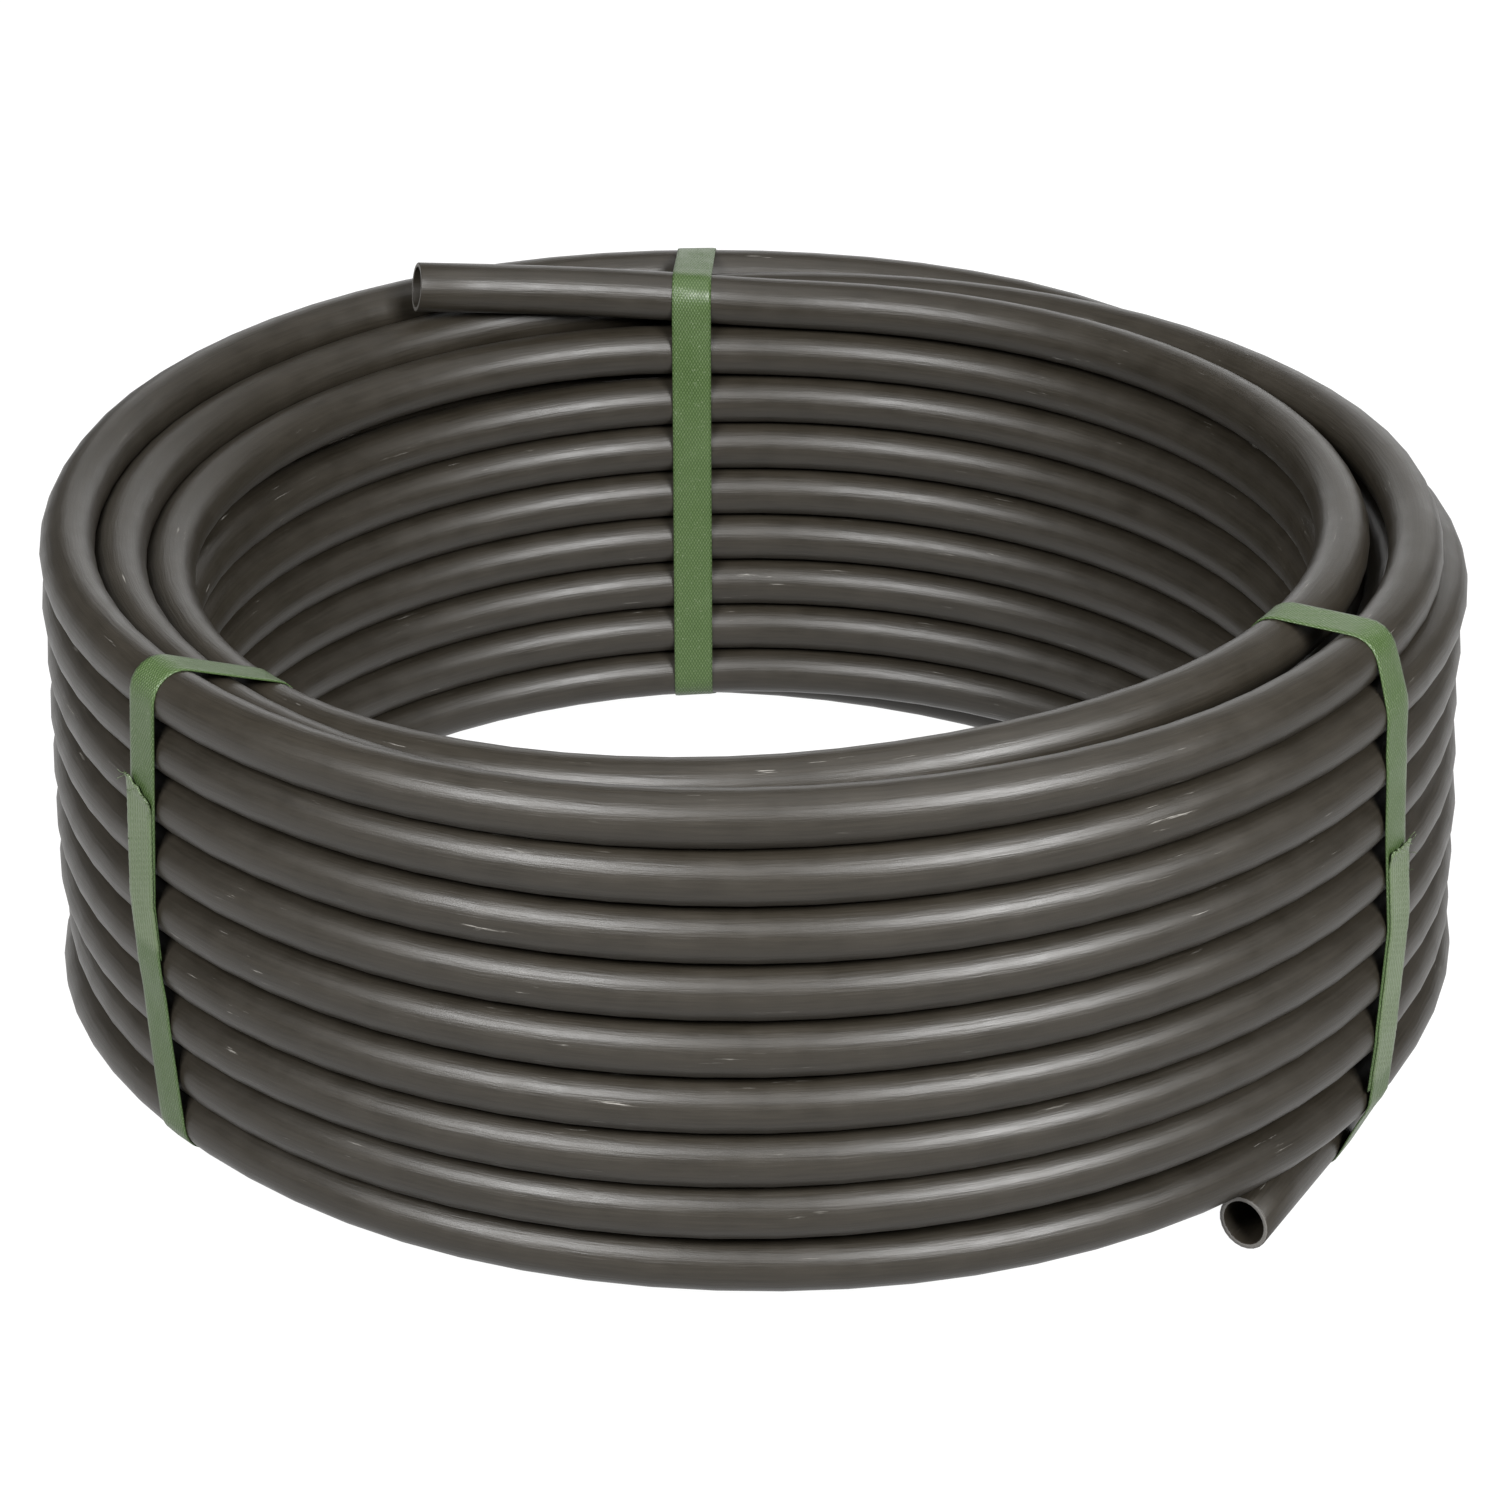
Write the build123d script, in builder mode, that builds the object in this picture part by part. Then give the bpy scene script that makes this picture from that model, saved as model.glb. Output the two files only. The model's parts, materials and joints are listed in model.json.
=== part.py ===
from build123d import *
import os
from math import cos, pi, radians, sin, tan

# A coil of black polyethylene irrigation pipe, tied with three plastic straps.
# The pipe is wound in three layers of nine rows. Its last turn is tucked under the coil, so the
# coil stands on that turn on one side, on its own lowest row on the other, and leans a little.
# Origin: middle of the footprint, on the floor. +Z up, -Y towards the front. Azimuths are in
# degrees about the coil's axis, 0 at +X and 90 at +Y. The pipe runs clockwise seen from above.

# ---- pipe
pipe_diameter = 25.0
pipe_wall = 2.3
pipe_radius = pipe_diameter / 2
bore_radius = pipe_radius - pipe_wall

# ---- straps
strap_width = 20.0
strap_thickness = 0.8
strap_slack = 0.3
lap_length = 85.0
left_strap_azimuth = -142.5
right_strap_azimuth = -31.0
back_strap_azimuth = 96.6
left_lap_height = 142.0
right_lap_height = 102.0
back_lap_height = 130.0

# ---- coil; radii and heights are to the middle of the pipe, heights from the coil's underside
rows = 9
row_pitch = 26.5
inner_radius = 271.5
outer_radius = 317.0
lowest_row = pipe_radius
highest_row = lowest_row + (rows - 1) * row_pitch
coil_height = highest_row + pipe_radius
coil_lean = 2.8

# ---- the last turn, level above the floor by the straps' thickness and by how far their edges dip
# because the coil leans; it ends in the lower free end
strap_edge_dip = strap_width / 2 * sin(radians(coil_lean))
tucked_radius = 303.0
tucked_height = strap_edge_dip + strap_thickness + strap_slack + pipe_radius
tucked_from_azimuth = 150.0
tucked_to_azimuth = -27.5
bottom_end_length = 114.5

# ---- the turn that climbs from the middle layer over onto the outer layer
climbing_radius = 307.0
climbing_height = 232.5
climbing_from_azimuth = 120.0
climbing_to_azimuth = -50.0

# ---- the upper free end: azimuth, radius and height of its route above the coil
top_end_route = [
    (90.5, 271.5, 225.0),
    (102.5, 272.5, 230.5),
    (114.5, 280.0, 239.0),
    (126.1, 289.8, 248.2),
]
step_from_azimuth = 91.5
step_to_azimuth = 136.0
step_outer_radius = 302.0
step_depth = 25.0
top_end_under_strap = (0.11, 0.23)

lean = radians(coil_lean)
coil = Plane(
    origin=(coil_height / 2 * sin(lean), 0, outer_radius * sin(lean)),
    x_dir=(cos(lean), 0, sin(lean)),
    z_dir=(-sin(lean), 0, cos(lean)),
)
coil_axis = Axis(coil.origin, coil.z_dir)
foot = Vector(coil.origin.X, coil.origin.Y, 0)
upright_axis = Axis(foot, (0, 0, 1))


def coil_section(azimuth):
    """The plane through the coil's axis at an azimuth: X outwards, Y up the axis."""
    outwards = coil.x_dir * cos(radians(azimuth)) + coil.y_dir * sin(radians(azimuth))
    return Plane(origin=coil.origin, x_dir=outwards, z_dir=outwards.cross(coil.z_dir))


def upright_section(azimuth):
    """The same, about a vertical axis that stands on the floor."""
    outwards = Vector(cos(radians(azimuth)), sin(radians(azimuth)), 0)
    return Plane(origin=foot, x_dir=outwards, z_dir=outwards.cross(Vector(0, 0, 1)))


def on_coil(azimuth, radius, height):
    """A point given by azimuth, radius and height in the leaning coil, as a point of the part."""
    local = Vector(radius * cos(radians(azimuth)), radius * sin(radians(azimuth)), height)
    return coil.from_local_coords(local)


def row_through(point):
    """Radius and height in the leaning coil of a pipe whose middle is at a point of the part."""
    local = coil.to_local_coords(point)
    return (Vector(local.X, local.Y, 0).length, local.Z)


def route_radii(points):
    """The largest arcs that the runs of a route leave room for."""
    radii = []
    for before, corner, after in zip(points, points[1:], points[2:]):
        turn = (corner - before).get_angle(after - corner)
        shorter = min((corner - before).length, (after - corner).length)
        radii.append(0.45 * shorter / tan(radians(turn) / 2))
    return radii


def report_tube(name, tube, length):
    section = pi * (pipe_radius**2 - bore_radius**2)
    print(f"{name}: volume {tube.volume:.0f}, section times length {section * length:.0f}")


corner_rows = [
    (inner_radius, lowest_row),
    (outer_radius, lowest_row),
    (outer_radius, highest_row),
    (inner_radius, highest_row),
]

# ---- the wound coil: the outer shape of its turns
with BuildPart() as hose_coil:
    with BuildSketch(coil_section(0)):
        with Locations(*corner_rows):
            Circle(pipe_radius)
        make_hull()
    revolve(axis=coil_axis)
    # beside the upper free end the inner layer is one row lower
    with BuildSketch(coil_section(step_to_azimuth)):
        with Locations((step_outer_radius, coil_height - step_depth)):
            Rectangle(2 * pipe_diameter, 2 * step_depth, align=(Align.MAX, Align.MIN))
    revolve(axis=coil_axis, revolution_arc=step_from_azimuth - step_to_azimuth, mode=Mode.SUBTRACT)
    # the climbing turn stands proud of the top
    with BuildSketch(coil_section(climbing_from_azimuth)):
        with Locations((climbing_radius, climbing_height)):
            Circle(pipe_radius)
            Rectangle(pipe_diameter, pipe_diameter, align=(Align.CENTER, Align.MAX))
    revolve(axis=coil_axis, revolution_arc=climbing_to_azimuth - climbing_from_azimuth)
    # the tucked turn stands proud of the underside
    with BuildSketch(upright_section(tucked_from_azimuth)):
        with Locations((tucked_radius, tucked_height)):
            Circle(pipe_radius)
            Rectangle(pipe_diameter, pipe_diameter, align=(Align.CENTER, Align.MIN))
    revolve(axis=upright_axis, revolution_arc=tucked_to_azimuth - tucked_from_azimuth)
hose_coil.part.label = "hose_coil"

# ---- the lower free end: straight on along the floor from where the tucked turn lets go
tucked_end = upright_section(tucked_to_azimuth)
bottom_start = tucked_end.from_local_coords(Vector(tucked_radius, tucked_height, 0))
bottom_rim = bottom_start + tucked_end.z_dir * bottom_end_length
with BuildPart() as hose_bottom_end:
    with BuildSketch(Plane(origin=bottom_start, z_dir=tucked_end.z_dir)):
        Circle(pipe_radius)
        Circle(bore_radius, mode=Mode.SUBTRACT)
    extrude(amount=bottom_end_length)
hose_bottom_end.part.label = "hose_bottom_end"
report_tube("hose_bottom_end", hose_bottom_end.part, bottom_end_length)

# ---- the upper free end: rises out of the inner layer and comes to lie on the rows behind
top_points = [on_coil(*place) for place in top_end_route]
top_radii = route_radii(top_points)
print("hose_top_end radii", [round(radius) for radius in top_radii])
with BuildPart() as hose_top_end:
    with BuildLine() as top_route:
        FilletPolyline(*top_points, radius=top_radii)
    top_wire = top_route.wires()[0]
    with BuildSketch(Plane(origin=top_wire @ 0, z_dir=top_wire % 0)):
        Circle(pipe_radius)
        Circle(bore_radius, mode=Mode.SUBTRACT)
    sweep(path=top_wire)
    split(bisect_by=coil_section(step_from_azimuth), keep=Keep.BOTTOM)
hose_top_end.part.label = "hose_top_end"
report_tube("hose_top_end", hose_top_end.part, top_wire.length)


# ---- the straps: flat bands drawn tight round the bundle, with a welded lap on the outside
def strap_band(azimuth, bundle_rows, lap_height):
    """One band round the pipes whose radius and height are in bundle_rows."""
    wall = outer_radius + pipe_radius + strap_slack
    with BuildPart() as band:
        with BuildSketch(coil_section(azimuth)):
            with Locations(*bundle_rows):
                Circle(pipe_radius + strap_slack + strap_thickness)
            make_hull()
            with BuildSketch(Plane.XY, mode=Mode.PRIVATE) as inside:
                with Locations(*bundle_rows):
                    Circle(pipe_radius + strap_slack)
                make_hull()
            add(inside.sketch, mode=Mode.SUBTRACT)
            with Locations((wall, lap_height)):
                Rectangle(2 * strap_thickness, lap_length, align=(Align.MIN, Align.CENTER))
        extrude(amount=strap_width / 2, both=True)
    return band


climbing_row = (climbing_radius, climbing_height)
# the free ends slant under their straps, so both edges of a strap have to clear them
rising_rows = [row_through(top_wire @ share) for share in top_end_under_strap]
under_back_strap = Vector(tucked_radius, tucked_height, 0)
tucked_row = row_through(upright_section(back_strap_azimuth).from_local_coords(under_back_strap))
strap_from_start = tucked_radius * tan(radians(tucked_to_azimuth - right_strap_azimuth))
slanting_rows = [
    row_through(bottom_start + tucked_end.z_dir * (strap_from_start + side * strap_width / 2))
    for side in (-1, 1)
]

left_bundle = corner_rows
right_bundle = corner_rows + [climbing_row] + slanting_rows
back_bundle = corner_rows + [climbing_row, tucked_row] + rising_rows

strap_left = strap_band(left_strap_azimuth, left_bundle, left_lap_height)
strap_left.part.label = "strap_left"

strap_right = strap_band(right_strap_azimuth, right_bundle, right_lap_height)
strap_right.part.label = "strap_right"

strap_back = strap_band(back_strap_azimuth, back_bundle, back_lap_height)
strap_back.part.label = "strap_back"

os.makedirs("parts", exist_ok=True)
export_step(hose_coil.part, "parts/hose_coil.step")
export_step(hose_bottom_end.part, "parts/hose_bottom_end.step")
export_step(hose_top_end.part, "parts/hose_top_end.step")
export_step(strap_left.part, "parts/strap_left.step")
export_step(strap_right.part, "parts/strap_right.step")
export_step(strap_back.part, "parts/strap_back.step")

for name, rim, leaving, straight in (
    ("bottom", bottom_rim, tucked_end.z_dir, bottom_end_length),
    ("top", top_wire @ 1, top_wire % 1, top_wire.edges()[-1].length),
):
    place = [round(value, 6) for value in (rim.X, rim.Y, rim.Z)]
    way = [round(value, 9) for value in (leaving.X, leaving.Y, leaving.Z)]
    print(f"{name} rim at {place}, open towards {way}, straight for {straight:.6f}")
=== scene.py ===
import json
import math
import random

import bmesh
import bpy
from mathutils import Matrix, Vector, noise


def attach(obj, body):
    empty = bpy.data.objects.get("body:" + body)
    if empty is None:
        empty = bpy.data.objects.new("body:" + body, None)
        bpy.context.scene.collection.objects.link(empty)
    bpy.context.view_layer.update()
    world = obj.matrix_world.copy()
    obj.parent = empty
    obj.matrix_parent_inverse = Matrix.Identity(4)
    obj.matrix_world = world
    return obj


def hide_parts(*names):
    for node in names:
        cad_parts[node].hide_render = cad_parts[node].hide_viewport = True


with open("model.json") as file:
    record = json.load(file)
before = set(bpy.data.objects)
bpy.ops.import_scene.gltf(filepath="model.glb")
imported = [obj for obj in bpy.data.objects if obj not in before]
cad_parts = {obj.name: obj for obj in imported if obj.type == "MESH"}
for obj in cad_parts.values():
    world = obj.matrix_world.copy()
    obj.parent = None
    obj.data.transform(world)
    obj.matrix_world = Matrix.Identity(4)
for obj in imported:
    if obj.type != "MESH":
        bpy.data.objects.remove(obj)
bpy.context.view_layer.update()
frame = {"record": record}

# Everything is in metres, in the frame of the CAD. The coil leans a little, because it stands on
# its tucked last turn, so turns are laid out in the leaning coil: azimuth in degrees about its
# axis (0 at +X, 90 at +Y), radius and height to the middle of the pipe. "Pipes" are pipe diameters.
# A turn number counts turns of the pipe, clockwise seen from above, from 0 at azimuth 90.

# ---- sizes, as in the CAD
PIPE = 0.025
WALL = 0.0023
STRAP_WIDTH = 0.020
STRAP_THICKNESS = 0.0008
INNER_RADIUS = 0.2715
OUTER_RADIUS = 0.317
COIL_HEIGHT = 0.237
LEAN = math.radians(2.8)
TUCKED_RADIUS = 0.303
TUCKED_HEIGHT = 0.01409
TUCKED_TO_AZIMUTH = -27.5

coil_to_part = Matrix.Translation(
    (COIL_HEIGHT / 2 * math.sin(LEAN), 0, OUTER_RADIUS * math.sin(LEAN))
) @ Matrix.Rotation(-LEAN, 4, "Y")
part_to_coil = coil_to_part.inverted()


# ---- helpers
def around(azimuth, radius, height):
    """A point of the leaning coil, in its own frame."""
    turn = math.radians(azimuth)
    return Vector((radius * math.cos(turn), radius * math.sin(turn), height))


def azimuth_of(turn):
    return 90 - 360 * turn


def mix(a, b, share):
    return a + (b - a) * share


def ease(value, low, high):
    """0 up to low, 1 from high on, and smooth between."""
    share = min(max((value - low) / (high - low), 0), 1)
    return share * share * (3 - 2 * share)


def along(value, places):
    """The result at a value, straight between the (value, result) places."""
    for (a, result_a), (b, result_b) in zip(places, places[1:]):
        if value <= b:
            return mix(result_a, result_b, max(value - a, 0) / (b - a))
    return places[-1][1]


def soft_floor(height, lowest, width):
    """The height, eased so that it never goes below the lowest."""
    gap = height - lowest
    if gap > width:
        return height
    if gap < -width:
        return lowest
    return lowest + (gap + width) ** 2 / (4 * width)


def add_object(name, data):
    piece = bpy.data.objects.new(name, data)
    bpy.context.scene.collection.objects.link(piece)
    return piece


# ---- camera: it stands in the coil's leaning frame, so that the rows lie level in the picture, and
# aims a little off the point that it is turned about
CAMERA_LENS = 114.2
SENSOR_WIDTH = 36
CLIP = (0.1, 50)
CAMERA_DISTANCE = 90.3 * PIPE
CAMERA_ELEVATION = math.radians(25.79)
AIM_HEIGHT = 4.5 * PIPE
AIM_DOWN = math.radians(-0.2445)
AIM_RIGHT = math.radians(0.0482)


def add_camera():
    data = bpy.data.cameras.new("camera")
    data.lens = CAMERA_LENS
    data.sensor_width = SENSOR_WIDTH
    data.clip_start, data.clip_end = CLIP
    camera = add_object("camera", data)
    tilt = Matrix.Rotation(math.pi / 2 - CAMERA_ELEVATION, 4, "X")
    stand = Matrix.Translation((0, 0, AIM_HEIGHT)) @ tilt
    away = Matrix.Translation((0, 0, CAMERA_DISTANCE))
    aim = Matrix.Rotation(AIM_DOWN, 4, "X") @ Matrix.Rotation(AIM_RIGHT, 4, "Y")
    camera.matrix_world = coil_to_part @ stand @ away @ aim
    bpy.context.scene.camera = camera


add_camera()

# ---- the pipe's route. Heights and radii are in pipes. The inner layer is wound down, the middle
# layer back up and the outer layer down again. From turn 16.75 on the pipe climbs over the middle
# layer's last turn, and at 17.5 it is in the outer layer. The last turn lies on the floor.
STATIONS = 24
TURN_LEAVES_INNER = 8.3
TURN_IN_MIDDLE = 8.6
TURN_CLIMB_STARTS = 16.75
TURN_CLIMB_ENDS = 17.5
TURN_ON_FLOOR = 25.75
INNER_PITCH = 1.035
OUTER_PITCH = 1.065
LOWEST_ROW = 0.5
# the upper free end's azimuths, radii and heights, in metres, from its rim to the first turn
TOP_END_ROUTE = [(126.1, 0.2898, 0.2482), (114.5, 0.2800, 0.2395), (102.5, 0.2727, 0.2325)]
# how softly a layer's rows come to rest on the lowest row's height
INNER_SOFTNESS = 0.2
OUTER_SOFTNESS = 0.1
# the outer layer's lower turns stand a little higher than its pitch would have them, by turn
OUTER_RISE = 0.1
OUTER_RISES = (22.5, 25.5)

# distances outwards from the inner layer: of the middle layer's first turn, the least of its
# later turns, and up to where a turn still counts as one of the inner or of the middle layer
MIDDLE_OUT = 0.9
MIDDLE_LEAST_OUT = 0.8
INNER_LIMIT_OUT = 0.2
MIDDLE_LIMIT_OUT = 1.4
# from these turns the climbing pipe rests on the middle layer
CLIMB_RESTS = (17.1, 17.2)
# the least radius of the outer layer's turns, by turn
OUTER_LEAST = [(18.4, 12.57), (18.65, 12.67), (18.85, 12.67), (19.1, 12.57)]
# the outer layer's upper turns are pressed in on the +X side, and this ends over the last turn
# before PRESSED_UNTIL
PRESSED_IN = 0.12
PRESSED_FROM = (17.9, 18.1)
PRESSED_UNTIL = 21.8
# the outer layer's last turns are moved a little towards +X
STANDS_ASIDE = 0.09
ASIDE_FROM = (24.25, 24.7)

# heights by the share of the turn: of each layer's uppermost turn, and of the later turns as if
# they were the uppermost. The middle layer is wound up, so its last turn is the uppermost one.
# The shares of the outer layer count from the front.
INNER_FIRST = [(0, 9.0), (0.4, 9.0), (0.45, 8.92), (0.64, 8.19), (0.95, 8.14), (1.0, 7.965)]
INNER_LATER = [(0, 9.0), (0.25, 8.87), (0.4, 8.6), (0.7, 8.05), (0.9, 7.965), (1.0, 7.965)]
MIDDLE_TURN = [
    (0, 7.96), (0.15, 8.33), (0.25, 8.38), (0.5, 8.48), (0.75, 8.6), (0.85, 8.66), (1, 8.995),
]
MIDDLE_LAST = [(0, 7.96), (0.25, 8.1), (0.5, 8.4), (0.7, 8.62), (0.75, 8.66)]
OUTER_FIRST = [
    (0, 9.0), (0.07, 8.96), (0.11, 8.98), (0.25, 9.05), (0.29, 9.18), (0.4, 9.2),
    (0.46, 9.06), (0.51, 8.91), (0.57, 8.8), (0.6, 8.6), (0.62, 8.4), (0.65, 8.2),
    (0.69, 8.15), (0.74, 8.18), (0.79, 8.2), (0.87, 8.1), (0.93, 8.02), (1, 8.005),
]
OUTER_LATER = [
    (0, 9.07), (0.07, 9.03), (0.12, 9.03), (0.25, 9.08), (0.4, 9.0),
    (0.5, 8.85), (0.57, 8.65), (0.62, 8.4), (0.65, 8.28), (0.69, 8.26),
    (0.74, 8.27), (0.79, 8.27), (0.87, 8.16), (0.93, 8.08), (1, 8.005),
]
# radius and height while the pipe climbs onto the outer layer, by turn
CLIMB_RADIUS = [
    (16.9, 11.71), (17.12, 11.87), (17.24, 12.1), (17.35, 12.33), (17.44, 12.52), (17.5, 12.57),
]
CLIMB_HEIGHT = [
    (16.9, 8.66), (17.12, 9.0), (17.24, 9.05), (17.35, 9.02), (17.44, 9.06), (17.5, 9.0),
]
# the lowest row of the outer layer rides up over the middle layer's first turn, by turn
LAST_ROW = [(25.3, 0.5), (25.45, 0.52), (25.56, 0.63), (25.65, 0.77), (25.69, 0.7), (25.75, 0.5)]

# the last turn on the floor: the azimuth it starts from, the stations between which it comes down
# and moves inwards, and how far behind the rim the free end's last control points lie, in metres
FLOOR_FROM_AZIMUTH = 180
FLOOR_COMES_DOWN = (0, 3)
FLOOR_MOVES_IN = (2, 9)
BOTTOM_END_POINTS = (0.112, 0.060, 0)


def row_height(turn):
    """Height of the pipe after so many turns, above the coil's underside."""
    whole = math.floor(turn)
    if turn < TURN_IN_MIDDLE:
        profile = INNER_FIRST if whole == 0 else INNER_LATER
        height = along(turn - whole, profile) - INNER_PITCH * whole
        return soft_floor(height, LOWEST_ROW, INNER_SOFTNESS)
    if turn < TURN_CLIMB_STARTS:
        last = math.floor(TURN_CLIMB_STARTS)
        profile = MIDDLE_LAST if whole == last else MIDDLE_TURN
        height = along(turn - whole, profile) - INNER_PITCH * (last - whole)
        return soft_floor(height, LOWEST_ROW, INNER_SOFTNESS)
    if turn < TURN_CLIMB_ENDS:
        return along(turn, CLIMB_HEIGHT)
    if turn > LAST_ROW[0][0]:
        return along(turn, LAST_ROW)
    whole = math.floor(turn - TURN_CLIMB_ENDS)
    profile = OUTER_FIRST if whole == 0 else OUTER_LATER
    height = along(turn - TURN_CLIMB_ENDS - whole, profile) - OUTER_PITCH * whole
    return soft_floor(height + OUTER_RISE * ease(turn, *OUTER_RISES), LOWEST_ROW, OUTER_SOFTNESS)


def resting_radius(height, earlier, limit):
    """Radius at which a turn rests on those earlier turns whose radius is under a limit."""
    radius = 0
    for earlier_radius, earlier_height in earlier:
        apart = abs(height - earlier_height)
        if earlier_radius < limit and apart < 1:
            radius = max(radius, earlier_radius + math.sqrt(1 - apart * apart))
    return radius


def row_radius(turn, height, earlier):
    """Radius of the pipe after so many turns, given the earlier turns at the same azimuth."""
    inner = INNER_RADIUS / PIPE
    if turn < TURN_IN_MIDDLE:
        return mix(inner, inner + MIDDLE_OUT, ease(turn, TURN_LEAVES_INNER, TURN_IN_MIDDLE))
    if turn < TURN_CLIMB_STARTS:
        resting = resting_radius(height, earlier, inner + INNER_LIMIT_OUT)
        return max(resting, inner + MIDDLE_LEAST_OUT)
    resting = resting_radius(height, earlier, inner + MIDDLE_LIMIT_OUT)
    if turn < TURN_CLIMB_ENDS:
        return max(resting * ease(turn, *CLIMB_RESTS), along(turn, CLIMB_RADIUS))
    facing = math.cos(math.radians(azimuth_of(turn)))
    pressed = PRESSED_IN * ease(turn, *PRESSED_FROM) * ease(PRESSED_UNTIL - turn, 0, 1)
    radius = max(resting, along(turn, OUTER_LEAST)) - pressed * max(facing, 0)
    return radius + STANDS_ASIDE * ease(turn, *ASIDE_FROM) * facing


def wound_places():
    """(radius, height) of the wound turns, one for each station."""
    places = []
    for i in range(round(TURN_ON_FLOOR * STATIONS) + 1):
        turn = i / STATIONS
        height = row_height(turn)
        earlier = [places[j] for j in range(i - STATIONS, -1, -STATIONS)]
        places.append((row_radius(turn, height, earlier), height))
    return places


def end_of(mount_name):
    """The middle of a free end's rim and the way it faces, from the record's mount."""
    mount = next(m for m in frame["record"]["mounts"] if m["name"] == mount_name)
    leaving = Vector(mount["axis"]).normalized()
    return Vector(mount["pos_m"]) + leaving * mount["dims"]["length_mm"] / 2000, leaving


def hose_route():
    """The control points of the pipe's line, from its upper to its lower free end."""
    points = [coil_to_part @ around(*place) for place in TOP_END_ROUTE]
    places = wound_places()
    # a quadratic NURBS line runs inside its control points, as each of its spans has its middle at
    # 3/4 of one point and 1/8 of each neighbour, so the points stand this much further out
    spread = 1 / (0.75 + 0.25 * math.cos(2 * math.pi / STATIONS))
    for i, (radius, height) in enumerate(places):
        place = around(azimuth_of(i / STATIONS), radius * PIPE * spread, height * PIPE)
        points.append(coil_to_part @ place)
    # the last turn lies on the floor, from where it leaves the outer layer to where it lets go
    foot = Vector((coil_to_part.translation.x, 0, 0))
    start_height = points[-1].z
    start_radius = places[-1][0] * PIPE
    step = 360 / STATIONS
    stations_on_floor = round((FLOOR_FROM_AZIMUTH - TUCKED_TO_AZIMUTH) / step) - 1
    for i in range(1, stations_on_floor + 1):
        radius = mix(start_radius, TUCKED_RADIUS, ease(i, *FLOOR_MOVES_IN))
        point = foot + around(FLOOR_FROM_AZIMUTH - i * step, radius * spread, 0)
        point.z = mix(start_height, TUCKED_HEIGHT, ease(i, *FLOOR_COMES_DOWN))
        points.append(point)
    rim, leaving = end_of("bottom_end_bore")
    return points + [rim - leaving * back for back in BOTTOM_END_POINTS]


def nurbs_line(points, resolution):
    """Points along the smooth NURBS line that has these control points."""
    curve = bpy.data.curves.new("route", "CURVE")
    curve.dimensions = "3D"
    spline = curve.splines.new("NURBS")
    spline.points.add(len(points) - 1)
    for knot, point in zip(spline.points, points):
        knot.co = (*point, 1)
    spline.order_u = 3
    spline.use_endpoint_u = True
    spline.resolution_u = resolution
    carrier = bpy.data.objects.new("route", curve)
    mesh = bpy.data.meshes.new_from_object(carrier)
    line = [vertex.co.copy() for vertex in mesh.vertices]
    bpy.data.meshes.remove(mesh)
    bpy.data.objects.remove(carrier)
    bpy.data.curves.remove(curve)
    return line


# ---- the pipe's mesh: a hollow tube whose cut ends have slightly broken edges
HOSE_SIDES = 24
LINE_RESOLUTION = 3
CUT_EDGE = 0.0003
# neither end is cut quite squarely: how far each cut is turned about the vertical
TOP_CUT_TURN = math.radians(-6.5)
BOTTOM_CUT_TURN = math.radians(-11.5)


def tube_sections(line):
    """(middle, ahead, normal, outer radius, bore radius, distance) along the pipe."""
    sections = []
    distance = 0
    for i, point in enumerate(line):
        ahead = (line[min(i + 1, len(line) - 1)] - line[max(i - 1, 0)]).normalized()
        if i:
            distance += (point - line[i - 1]).length
        sections.append((point, ahead, ahead, PIPE / 2, PIPE / 2 - WALL, distance))
    # at a cut end two slanting sections close together, of which the last has broken edges
    for end, turn, step in ((0, TOP_CUT_TURN, 1), (-1, BOTTOM_CUT_TURN, -1)):
        middle, ahead, _, outer, bore, distance = sections[end]
        normal = Matrix.Rotation(turn, 3, "Z") @ ahead
        near_middle = middle + ahead * CUT_EDGE * step
        near = (near_middle, ahead, normal, outer, bore, distance + CUT_EDGE * step)
        sections[end] = (middle, ahead, normal, outer - CUT_EDGE, bore + CUT_EDGE / 2, distance)
        sections.insert(1 if end == 0 else len(sections) - 1, near)
    return sections


def ring_points(middle, ahead, normal, reach):
    """Points round the pipe on the plane through its middle that has this normal."""
    side = ahead.cross(Vector((0, 0, 1))).normalized()
    up = side.cross(ahead)
    points = []
    for k in range(HOSE_SIDES):
        turn = 2 * math.pi * k / HOSE_SIDES
        out = (side * math.cos(turn) + up * math.sin(turn)) * reach
        points.append(middle + out - ahead * out.dot(normal) / ahead.dot(normal))
    return points


def hose_mesh(line):
    """The tube round a line. Its UV map holds the share of the way round and the distance."""
    build = bmesh.new()
    coordinates = build.loops.layers.uv.new("pipe")
    rings = []
    for middle, ahead, normal, outer, bore, distance in tube_sections(line):
        loops = [
            [build.verts.new(point) for point in ring_points(middle, ahead, normal, reach)]
            for reach in (outer, bore)
        ]
        rings.append((*loops, distance))

    def quad(corners, places, slot=0):
        face = build.faces.new(corners)
        face.smooth = True
        face.material_index = slot
        for loop, place in zip(face.loops, places):
            loop[coordinates].uv = place

    for (outer_a, bore_a, here), (outer_b, bore_b, there) in zip(rings, rings[1:]):
        for k in range(HOSE_SIDES):
            n = (k + 1) % HOSE_SIDES
            low, high = k / HOSE_SIDES, (k + 1) / HOSE_SIDES
            low_a, high_a, high_b, low_b = (low, here), (high, here), (high, there), (low, there)
            quad((outer_a[k], outer_a[n], outer_b[n], outer_b[k]), (low_a, high_a, high_b, low_b))
            quad((bore_a[k], bore_b[k], bore_b[n], bore_a[n]), (low_a, low_b, high_b, high_a))
    for (outer, bore, here), flip in ((rings[0], False), (rings[-1], True)):
        for k in range(HOSE_SIDES):
            n = (k + 1) % HOSE_SIDES
            corners = (outer[k], bore[k], bore[n], outer[n])
            quad(corners[::-1] if flip else corners, [(k / HOSE_SIDES, here)] * 4, slot=1)
    mesh = bpy.data.meshes.new("hose")
    build.to_mesh(mesh)
    build.free()
    return mesh


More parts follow.
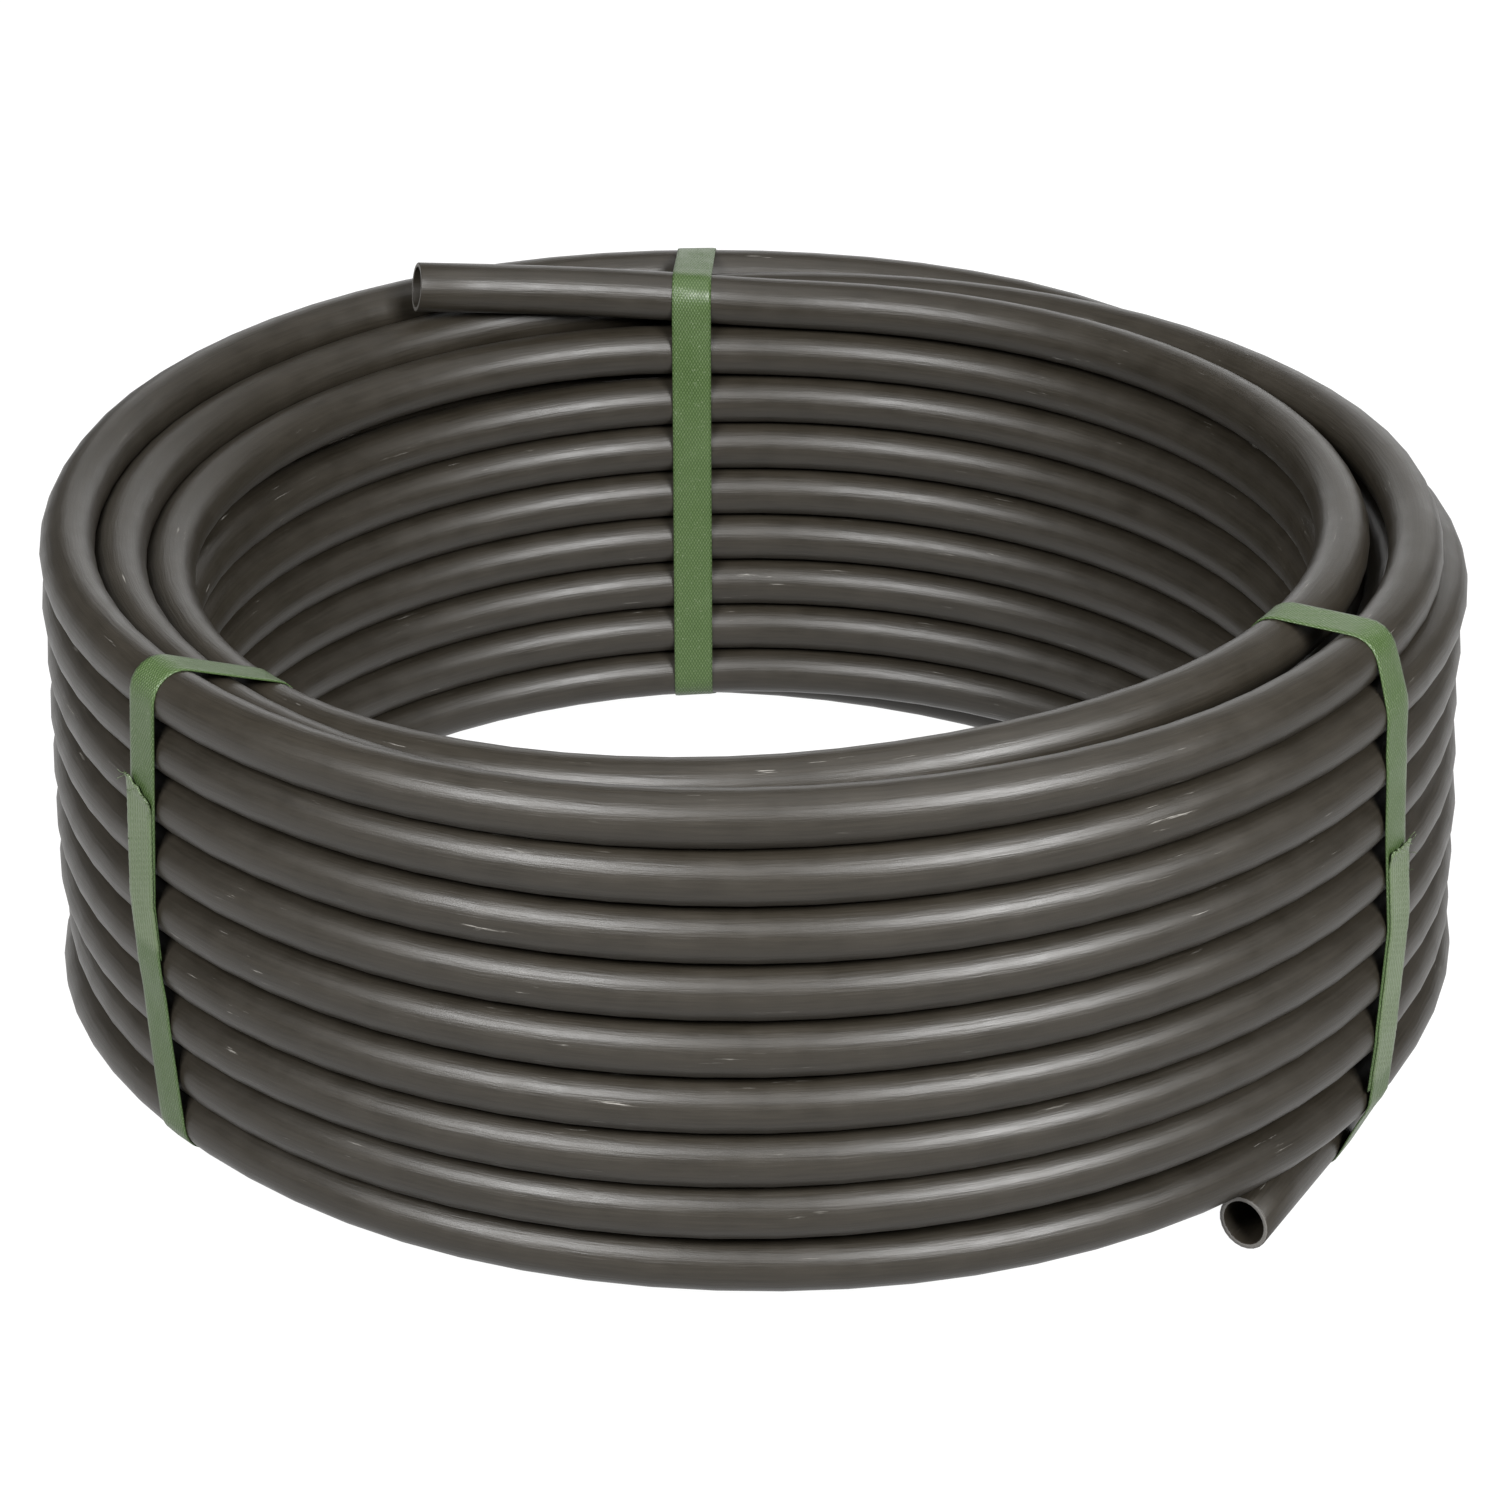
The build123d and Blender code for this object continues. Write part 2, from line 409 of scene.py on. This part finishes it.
hose_line = nurbs_line(hose_route(), LINE_RESOLUTION)
hose = add_object("hose", hose_mesh(hose_line))
hose_length = sum((b - a).length for a, b in zip(hose_line, hose_line[1:]))
print("hose length", round(hose_length, 3), "triangles", len(hose.data.polygons) * 2)
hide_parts("hose_coil", "hose_top_end", "hose_bottom_end")
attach(hose, "root")

# ---- the straps. A strap is one band: its tail lies on the outer wall, it goes up and over the
# top, down the inner wall, under the coil and up the outer wall again, over its own tail.
STRAP_CLEARANCE = 0.0001
STRAP_COLUMNS = 12
MIDDLE_COLUMN = STRAP_COLUMNS // 2
STRAP_EDGES = (0, STRAP_COLUMNS)
EDGE_ROUND = 0.00022
BEND_STEP = math.radians(5)
# the outer wall is where the band's normal points outwards by at least this much
FACES_OUT = 0.9
# rows along the band: their distance, their distance in the lap, and how far before the lap
# those closer rows begin
STRAP_STEP = 0.004
LAP_STEP = 0.0015
LAP_LEAD = 0.01
# how far before the lap the band rises onto its own tail, from and to, and how far it then stands
# out, in thicknesses
RISE_LEAD = (0.022, 0.004)
RISE = 1.1
# the torn end: how far its tip lifts, over which length, the length that is pulled to its slant,
# and how ragged it is
TIP_LIFT = 0.0012
TIP_LENGTH = 0.008
SLANT_REACH = 0.024
RAGGED = 0.0008
# the weld: where it sets in after the lap's start, from and to, and how far its edges are frayed
WELD_SETS_IN = (0.002, 0.008)
FRAYED = 0.0005
# the tail's sideways shift fades out between these distances, in laps
TAIL_SHIFT_FADES = (0.8, 1.6)
# how much the band's width varies, and the scale of the noise that it follows
SWELL = 0.015
SWELLS = 9
coil_line = [part_to_coil @ point for point in hose_line]


class Strap:
    """Where a strap goes. Heights are in pipes, and shifts and slants are across, in metres."""

    def __init__(self, azimuth, wander, skew, tail, top, tail_shift, top_shift, slant, seed):
        self.azimuth = azimuth
        self.wander = wander
        self.skew = skew
        self.tail = tail * PIPE
        self.top = top * PIPE
        self.tail_shift = tail_shift
        self.top_shift = top_shift
        self.slant = slant
        self.seed = seed


# wander is how far, in degrees, the band strays from its azimuth, by height in pipes; skew is how
# far it moves aside for each metre outwards; tail and top are the lap's lower and upper end
STRAPS = {
    "strap_left": Strap(
        azimuth=-142.2,
        wander=[(0, 0.9), (2.5, -0.3), (5, -1.5), (9, 0)],
        skew=0,
        tail=4.0,
        top=7.3,
        tail_shift=0,
        top_shift=-0.0017,
        slant=-0.004,
        seed=1,
    ),
    "strap_right": Strap(
        azimuth=-31.4,
        wander=[(0, 0), (2, -0.1), (4, 1.0), (6, -0.1), (7.5, -0.5), (9, 0.2)],
        skew=0,
        tail=0.8,
        top=5.6,
        tail_shift=-0.0018,
        top_shift=0,
        slant=0.0,
        seed=2,
    ),
    "strap_back": Strap(
        azimuth=96.7,
        wander=[(0, 0), (9, 0)],
        skew=-0.155,
        tail=3.4,
        top=6.6,
        tail_shift=0,
        top_shift=0.001,
        slant=0.002,
        seed=3,
    ),
}


def crossings(azimuth, aside):
    """(radius, height) where the pipe crosses a plane along the coil's axis, so far aside of it."""
    outwards = around(azimuth, 1, 0)
    across = around(azimuth + 90, 1, 0)
    found = []
    for a, b in zip(coil_line, coil_line[1:]):
        before, after = a.dot(across) - aside, b.dot(across) - aside
        if before * after <= 0 and before != after and a.dot(outwards) > 0:
            point = a.lerp(b, before / (before - after))
            found.append((point.dot(outwards), point.z))
    return found


def hull(points):
    """The convex hull of the points, anticlockwise."""
    ordered = sorted(set(points))

    def half(line):
        chain = []
        for p in line:
            while len(chain) > 1:
                (ax, ay), (bx, by) = chain[-2], chain[-1]
                if (bx - ax) * (p[1] - ay) - (by - ay) * (p[0] - ax) > 0:
                    break
                chain.pop()
            chain.append(p)
        return chain[:-1]

    return half(ordered) + half(ordered[::-1])


def band_outline(centres, reach):
    """(point, normal) pairs round the pipes, anticlockwise, close together."""
    corners = [Vector(corner) for corner in hull(centres)]
    edges = [(b - a).normalized() for a, b in zip(corners, corners[1:] + corners[:1])]
    outline = []
    for i, corner in enumerate(corners):
        start = math.atan2(-edges[i - 1].x, edges[i - 1].y)
        turn = (math.atan2(-edges[i].x, edges[i].y) - start) % (2 * math.pi)
        steps = max(round(turn / BEND_STEP), 1)
        for j in range(steps + 1):
            angle = start + turn * j / steps
            normal = Vector((math.cos(angle), math.sin(angle)))
            outline.append((corner + normal * reach, normal))
    return outline


def from_height(outline, height):
    """The same outline, opened on the outer wall at a height, with the distance along it."""
    for i, ((a, normal_a), (b, normal_b)) in enumerate(zip(outline, outline[1:] + outline[:1])):
        if a.y <= height < b.y and normal_a.x > FACES_OUT:
            share = (height - a.y) / (b.y - a.y)
            start = (a.lerp(b, share), normal_a.lerp(normal_b, share).normalized())
            opened = [start] + outline[i + 1:] + outline[:i + 1] + [start]
            break
    distances = [0]
    for (a, _), (b, _) in zip(opened, opened[1:]):
        distances.append(distances[-1] + (b - a).length)
    return opened, distances


def at_distance(opened, distances, distance):
    """Point and normal at a distance along an opened outline, which may go on past its end."""
    whole = distances[-1]
    if distance > whole:
        distance -= whole
    low, high = 0, len(distances) - 1
    while high - low > 1:
        middle = (low + high) // 2
        if distances[middle] <= distance:
            low = middle
        else:
            high = middle
    share = (distance - distances[low]) / max(distances[high] - distances[low], 1e-9)
    (a, normal_a), (b, normal_b) = opened[low], opened[high]
    return a.lerp(b, share), normal_a.lerp(normal_b, share).normalized()


def strap_stops(whole, lap):
    """Distances of the band's rows along it, from its tail to its torn end."""
    stops = [0]
    while stops[-1] < whole + lap - LAP_STEP:
        in_lap = stops[-1] < lap or stops[-1] > whole - LAP_LEAD
        stops.append(stops[-1] + (LAP_STEP if in_lap else STRAP_STEP))
    return stops


def strap_rows(strap):
    """Rows of (outer point, inner point, across, distance, weld) along the band."""
    rng = random.Random(strap.seed)
    lap = strap.top - strap.tail
    columns = range(STRAP_COLUMNS + 1)
    asides = [STRAP_WIDTH * (c / STRAP_COLUMNS - 0.5) for c in columns]
    outlines = []
    for aside in asides:
        outline = band_outline(crossings(strap.azimuth, aside), PIPE / 2 + STRAP_CLEARANCE)
        outlines.append(from_height(outline, strap.tail))
    whole = outlines[MIDDLE_COLUMN][1][-1]
    stops = strap_stops(whole, lap)
    rows = []
    for stop in stops:
        to_end = stops[-1] - stop
        rise = ease(stop, whole - RISE_LEAD[0], whole - RISE_LEAD[1])
        lift = STRAP_THICKNESS * RISE * rise + TIP_LIFT * ease(TIP_LENGTH - to_end, 0, TIP_LENGTH)
        fading = ease(stop, lap * TAIL_SHIFT_FADES[0], lap * TAIL_SHIFT_FADES[1])
        shift = strap.tail_shift * (1 - fading) + strap.top_shift * ease(stop, whole, whole + lap)
        weld = ease(stop, whole + WELD_SETS_IN[0], whole + WELD_SETS_IN[1])
        swell = 1 + noise.noise(Vector((stop * SWELLS, strap.seed, 0))) * SWELL
        torn = ease(SLANT_REACH - to_end, 0, SLANT_REACH)
        row = []
        for c, aside, (opened, distances) in zip(columns, asides, outlines):
            end_slant = strap.slant * (c / STRAP_COLUMNS - 0.5) * 2
            ragged = rng.uniform(-RAGGED, RAGGED)
            place = stop - whole + distances[-1]
            if stop < whole:
                place = stop * distances[-1] / whole
            if to_end < SLANT_REACH:
                place += (end_slant + ragged) * torn
            point, normal = at_distance(opened, distances, place)
            fray = rng.uniform(0, FRAYED) * weld if c in STRAP_EDGES else 0
            across = aside * swell + shift + math.copysign(fray, aside)
            azimuth = strap.azimuth + along(point.y / PIPE, strap.wander)
            edge_round = EDGE_ROUND if c in STRAP_EDGES else 0
            layers = []
            for out in (lift + STRAP_THICKNESS - edge_round, lift + edge_round / 2):
                reach = point + normal * out
                aside_here = across + strap.skew * (point.x - INNER_RADIUS)
                flat = around(azimuth, reach.x, reach.y) + around(azimuth + 90, aside_here, 0)
                layers.append(coil_to_part @ flat)
            row.append((*layers, aside, stop, weld))
        rows.append(row)
    return rows


def strap_mesh(name, strap):
    """The band with its loose fibres. Its UV map holds the distances across and along."""
    build = bmesh.new()
    coordinates = build.loops.layers.uv.new("strap")
    welds = build.verts.layers.float.new("weld")
    grid = []
    for row in strap_rows(strap):
        line = []
        for outer, inner, aside, stop, weld in row:
            pair = (build.verts.new(outer), build.verts.new(inner))
            for vertex in pair:
                vertex[welds] = weld
            line.append((*pair, (aside, stop)))
        grid.append(line)

    def quad(corners):
        face = build.faces.new([vertex for vertex, _ in corners])
        face.smooth = True
        for loop, (_, place) in zip(face.loops, corners):
            loop[coordinates].uv = place

    def corner(cell, layer):
        return (cell[layer], cell[2])

    def thickness(cell_a, cell_b, flip):
        """The face between two cells through the band's thickness."""
        ring = [corner(cell_a, 0), corner(cell_a, 1), corner(cell_b, 1), corner(cell_b, 0)]
        quad(ring if flip else ring[::-1])

    for row_a, row_b in zip(grid, grid[1:]):
        for c in range(STRAP_COLUMNS):
            cells = (row_a[c], row_b[c], row_b[c + 1], row_a[c + 1])
            quad([corner(cell, 0) for cell in cells[::-1]])
            quad([corner(cell, 1) for cell in cells])
        thickness(row_a[0], row_b[0], False)
        thickness(row_a[-1], row_b[-1], True)
    for row, flip in ((grid[0], True), (grid[-1], False)):
        for c in range(STRAP_COLUMNS):
            thickness(row[c], row[c + 1], flip)
    add_fibres(build, coordinates, welds, grid, strap)
    build.normal_update()
    mesh = bpy.data.meshes.new(name)
    build.to_mesh(mesh)
    build.free()
    return mesh


# ---- loose fibres at a strap's torn end; the rows they start from count back from it, and their
# headings are so much outwards, along the band and across it
FIBRES = 12
FIBRE_RADIUS = 0.00016
FIBRE_SIDES = 3
FIBRE_RINGS = 5
FIBRE_LENGTH = (0.002, 0.006)
FIBRE_CURL = 0.35
FIBRE_ROWS = (0, 0, 0, 1, 6, 12, 20)
FIBRE_OUT = (0.2, 0.9)
FIBRE_ALONG = (-0.3, 1)
FIBRE_ACROSS = (-0.8, 0.8)


def fibre_heading(rng, out, rise, sway):
    """The way a fibre sets out, and how it curls."""
    heading = out * rng.uniform(*FIBRE_OUT)
    heading += rise * rng.uniform(*FIBRE_ALONG)
    heading += sway * rng.uniform(*FIBRE_ACROSS)
    curl = (sway * rng.uniform(-1, 1) + rise * rng.uniform(-1, 1)) * FIBRE_CURL
    return heading.normalized(), curl


def add_fibres(build, coordinates, welds, grid, strap):
    """Loose fibres at the torn end of the lap: thin three-sided curls."""
    rng = random.Random(strap.seed * 7)
    rise = (grid[-1][MIDDLE_COLUMN][0].co - grid[-2][MIDDLE_COLUMN][0].co).normalized()
    for _ in range(FIBRES):
        row = grid[-1 - rng.choice(FIBRE_ROWS)]
        # from anywhere along the end itself, and from the band's edges further back
        at_end = row is grid[-1]
        cell = row[rng.randrange(STRAP_COLUMNS + 1) if at_end else rng.choice(STRAP_EDGES)]
        outer, inner = cell[0].co, cell[1].co
        out = (outer - inner).normalized()
        heading, curl = fibre_heading(rng, out, rise, out.cross(rise))
        point = inner.lerp(outer, 0.5)
        length = rng.uniform(*FIBRE_LENGTH)
        rings = []
        for _ in range(FIBRE_RINGS):
            side = heading.cross(out + rise * 0.3).normalized()
            up = side.cross(heading)
            ring = []
            for k in range(FIBRE_SIDES):
                turn = 2 * math.pi * k / FIBRE_SIDES
                reach = (side * math.cos(turn) + up * math.sin(turn)) * FIBRE_RADIUS
                ring.append(build.verts.new(point + reach))
                ring[-1][welds] = 1
            rings.append(ring)
            point = point + heading * length / (FIBRE_RINGS - 1)
            heading = (heading + curl).normalized()
        faces = [build.faces.new(rings[0][::-1]), build.faces.new(rings[-1])]
        for ring_a, ring_b in zip(rings, rings[1:]):
            for k in range(FIBRE_SIDES):
                n = (k + 1) % FIBRE_SIDES
                faces.append(build.faces.new((ring_a[k], ring_a[n], ring_b[n], ring_b[k])))
        for face in faces:
            face.smooth = True
            for loop in face.loops:
                loop[coordinates].uv = cell[2]


straps = []
for name, strap in STRAPS.items():
    piece = add_object(name + "_band", strap_mesh(name, strap))
    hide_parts(name)
    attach(piece, "root")
    straps.append(piece)


# ---- materials; colours are linear
SKIN_DARK = (0.0083, 0.0068, 0.0045, 1)
SKIN_LIGHT = (0.0117, 0.0097, 0.0068, 1)
SKIN_LINES = (0.0215, 0.0182, 0.0135, 1)
SCUFFED = (0.24, 0.23, 0.21, 1)
CUT_DARK = (0.040, 0.037, 0.033, 1)
CUT_LIGHT = (0.075, 0.071, 0.065, 1)
STRAP_DARK = (0.0120, 0.0270, 0.0043, 1)
STRAP_LIGHT = (0.0183, 0.0366, 0.0081, 1)
# painted highlight: the pale colour laid on the embossed diamonds' ridges where they would catch
# light
STRAP_RIDGE_HIGHLIGHT = (0.10, 0.14, 0.065, 1)
STRAP_WELDED = (0.078, 0.102, 0.056, 1)
STRAP_SPECKS = (0.22, 0.26, 0.18, 1)
FLOOR_COLOUR = (0.06, 0.06, 0.06, 1)
WHITE = (1, 1, 1, 1)
# the strap's embossing: its pitch and lean, and the pitch of the ribs that the welding leaves
EMBOSSING = 0.0016
EMBOSSING_LEAN = 0.55
WELD_RIBS = 0.0021
# the colour sockets of a mix node, which has sockets of the same names for other data
MIX_A, MIX_B, MIX_RESULT = 6, 7, 2


class Nodes:
    """A short way to write a material's node tree."""

    def __init__(self, name):
        self.material = bpy.data.materials.new(name)
        self.material.use_nodes = True
        self.tree = self.material.node_tree
        self.shader = self.tree.nodes["Principled BSDF"]

    def add(self, kind, inputs=None, **settings):
        node = self.tree.nodes.new(kind)
        for key, value in settings.items():
            setattr(node, key, value)
        for key, value in (inputs or {}).items():
            self.feed(node.inputs[key], value)
        return node

    def feed(self, socket, value):
        if isinstance(value, bpy.types.NodeSocket):
            self.tree.links.new(value, socket)
        else:
            socket.default_value = value

    def math(self, operation, *values):
        node = self.add("ShaderNodeMath", operation=operation)
        for socket, value in zip(node.inputs, values):
            self.feed(socket, value)
        return node.outputs[0]

    def noise(self, vector, scale, detail=2.0, roughness=0.5):
        inputs = {"Vector": vector, "Scale": scale, "Detail": detail, "Roughness": roughness}
        return self.add("ShaderNodeTexNoise", inputs).outputs["Fac"]

    def ramp(self, value, low, high, low_result=0.0, high_result=1.0):
        source = {"Value": value, "From Min": low, "From Max": high}
        result = {"To Min": low_result, "To Max": high_result}
        return self.add("ShaderNodeMapRange", {**source, **result}).outputs["Result"]

    def uv(self, name):
        """The two coordinates of a UV map of this name."""
        vector = self.add("ShaderNodeUVMap", uv_map=name).outputs["UV"]
        parts = self.add("ShaderNodeSeparateXYZ", {"Vector": vector})
        return parts.outputs["X"], parts.outputs["Y"]

    def place(self):
        return self.add("ShaderNodeTexCoord").outputs["Object"]

    def blend(self, share, a, b):
        node = self.add("ShaderNodeMix", data_type="RGBA")
        self.feed(node.inputs["Factor"], share)
        self.feed(node.inputs[MIX_A], a)
        self.feed(node.inputs[MIX_B], b)
        return node.outputs[MIX_RESULT]

    def bump(self, height, distance, strength=1.0, normal=None):
        inputs = {"Height": height, "Distance": distance, "Strength": strength}
        if normal is not None:
            inputs["Normal"] = normal
        return self.add("ShaderNodeBump", inputs).outputs["Normal"]


def hose_material():
    """Black extruded polyethylene: satin, finely grained, drawn lengthways, with pale scuffs."""
    n = Nodes("polyethylene")
    place = n.place()
    share_round, length = n.uv("pipe")
    angle = n.math("MULTIPLY", share_round, 2 * math.pi)
    round_x, round_y = n.math("COSINE", angle), n.math("SINE", angle)

    def drawn(stretch):
        """Coordinates round the pipe's wall in which noise is drawn out along the pipe."""
        inputs = {"X": round_x, "Y": round_y, "Z": n.math("MULTIPLY", length, stretch)}
        return n.add("ShaderNodeCombineXYZ", inputs).outputs["Vector"]

    grain = n.noise(place, scale=1400, detail=3, roughness=0.65)
    mottle = n.noise(place, scale=55, detail=4, roughness=0.6)
    lines = n.noise(drawn(4), scale=9, detail=3, roughness=0.6)
    scuff_shape = n.noise(drawn(5), scale=6, detail=4, roughness=0.65)
    rubbed = n.noise(place, scale=14)
    scuffs = n.math("MULTIPLY", n.ramp(scuff_shape, 0.66, 0.74), n.ramp(rubbed, 0.5, 0.62))
    base = n.blend(n.ramp(mottle, 0.3, 0.7), SKIN_DARK, SKIN_LIGHT)
    base = n.blend(n.ramp(lines, 0.35, 0.7, 0, 0.35), base, SKIN_LINES)
    base = n.blend(n.math("MULTIPLY", scuffs, 0.6), base, SCUFFED)
    n.feed(n.shader.inputs["Base Color"], base)
    satin = n.ramp(mottle, 0.25, 0.75, 0.37, 0.45)
    roughness = n.math("ADD", satin, n.math("MULTIPLY", scuffs, 0.15))
    n.feed(n.shader.inputs["Roughness"], roughness)
    n.shader.inputs["Specular IOR Level"].default_value = 0.31
    normal = n.bump(lines, distance=0.00025, strength=0.6)
    normal = n.bump(grain, distance=0.00007, strength=0.6, normal=normal)
    n.feed(n.shader.inputs["Normal"], normal)
    return n.material


def cut_face_material():
    """The sawn wall of the pipe's ends: a little paler and duller than the skin."""
    n = Nodes("cut_polyethylene")
    marks = n.noise(n.place(), scale=1800, detail=3)
    n.feed(n.shader.inputs["Base Color"], n.blend(marks, CUT_DARK, CUT_LIGHT))
    n.shader.inputs["Roughness"].default_value = 0.6
    n.feed(n.shader.inputs["Normal"], n.bump(marks, distance=0.0001))
    return n.material


def strap_material():
    """Green polypropylene strapping, embossed with small diamonds whose ridges carry a painted
    highlight, and paler where it is welded.
    """
    n = Nodes("strapping")
    place = n.place()
    across, length = n.uv("strap")
    weld = n.add("ShaderNodeAttribute", attribute_name="weld").outputs["Fac"]

    def waves(distance, pitch):
        """Rounded ridges that lie a pitch apart."""
        return n.math("ABSOLUTE", n.math("SINE", n.math("MULTIPLY", distance, math.pi / pitch)))

    def ridges(lean):
        return waves(n.math("ADD", across, n.math("MULTIPLY", length, lean)), EMBOSSING)

    diamonds = n.math("MULTIPLY", ridges(EMBOSSING_LEAN), ridges(-EMBOSSING_LEAN))
    worn = n.noise(place, scale=38, detail=3, roughness=0.6)
    pressed = n.ramp(worn, 0.38, 0.6, 0.15, 1.0)
    ribs = waves(across, WELD_RIBS)
    fine = n.noise(place, scale=900, detail=3, roughness=0.6)
    base = n.blend(n.ramp(worn, 0.3, 0.7), STRAP_DARK, STRAP_LIGHT)
    # painted highlight: the diamonds' ridges are painted paler, as if the embossing caught the
    # light
    base = n.blend(n.math("MULTIPLY", diamonds, 0.4), base, STRAP_RIDGE_HIGHLIGHT)
    base = n.blend(n.math("MULTIPLY", weld, 0.55), base, STRAP_WELDED)
    base = n.blend(n.ramp(fine, 0.62, 0.8, 0, 0.5), base, STRAP_SPECKS)
    n.feed(n.shader.inputs["Base Color"], base)
    n.feed(n.shader.inputs["Roughness"], n.ramp(worn, 0.3, 0.7, 0.34, 0.46))
    n.shader.inputs["Specular IOR Level"].default_value = 0.27
    embossed = n.math("MULTIPLY", diamonds, pressed)
    normal = n.bump(embossed, distance=0.0003, strength=0.8)
    normal = n.bump(n.math("MULTIPLY", ribs, weld), distance=0.0004, strength=0.8, normal=normal)
    normal = n.bump(fine, distance=0.0001, strength=0.5, normal=normal)
    n.feed(n.shader.inputs["Normal"], normal)
    return n.material


def floor_material():
    """A white backdrop: it glows, so that it stays white under any light."""
    n = Nodes("floor")
    n.shader.inputs["Base Color"].default_value = FLOOR_COLOUR
    n.shader.inputs["Roughness"].default_value = 0.9
    n.shader.inputs["Specular IOR Level"].default_value = 0.1
    n.shader.inputs["Emission Color"].default_value = WHITE
    n.shader.inputs["Emission Strength"].default_value = 1.0
    return n.material


hose.data.materials.append(hose_material())
hose.data.materials.append(cut_face_material())
strapping = strap_material()
for piece in straps:
    piece.data.materials.append(strapping)

# ---- stage and light
FLOOR_REACH = 6
WORLD_STRENGTH = 0.17
LIGHTS_AIM = Vector((0, 0, 0.12))
# azimuth and elevation as seen from the coil, distance, the softbox's width and height, and power
LIGHTS = {
    "front_left": (-126, 38, 3.2, (1.3, 1.0), 192),
    "front_right": (-53, 38, 3.2, (1.3, 1.0), 232),
    "overhead": (30, 84, 3.0, (2.4, 2.4), 38),
    "backdrop": (80, 18, 3.2, (3.2, 1.5), 28),
}

quarters = ((-1, -1), (1, -1), (1, 1), (-1, 1))
floor_corners = [(x * FLOOR_REACH, y * FLOOR_REACH, 0) for x, y in quarters]
floor_mesh = bpy.data.meshes.new("floor")
floor_mesh.from_pydata(floor_corners, [], [(0, 1, 2, 3)])
floor = add_object("floor", floor_mesh)
floor.data.materials.append(floor_material())

scene = bpy.context.scene
scene.view_settings.view_transform = "Standard"
scene.world = bpy.data.worlds.new("world")
scene.world.use_nodes = True
background = scene.world.node_tree.nodes["Background"]
background.inputs["Color"].default_value = WHITE
background.inputs["Strength"].default_value = WORLD_STRENGTH


def area_light(name, azimuth, elevation, distance, size, power):
    """A softbox turned towards the coil."""
    flat = distance * math.cos(math.radians(elevation))
    height = distance * math.sin(math.radians(elevation))
    data = bpy.data.lights.new(name, "AREA")
    data.shape = "RECTANGLE"
    data.size, data.size_y = size
    data.energy = power
    light = add_object(name, data)
    light.location = around(azimuth, flat, height)
    light.rotation_euler = (LIGHTS_AIM - light.location).to_track_quat("-Z", "Y").to_euler()


for name, placing in LIGHTS.items():
    area_light(name, *placing)
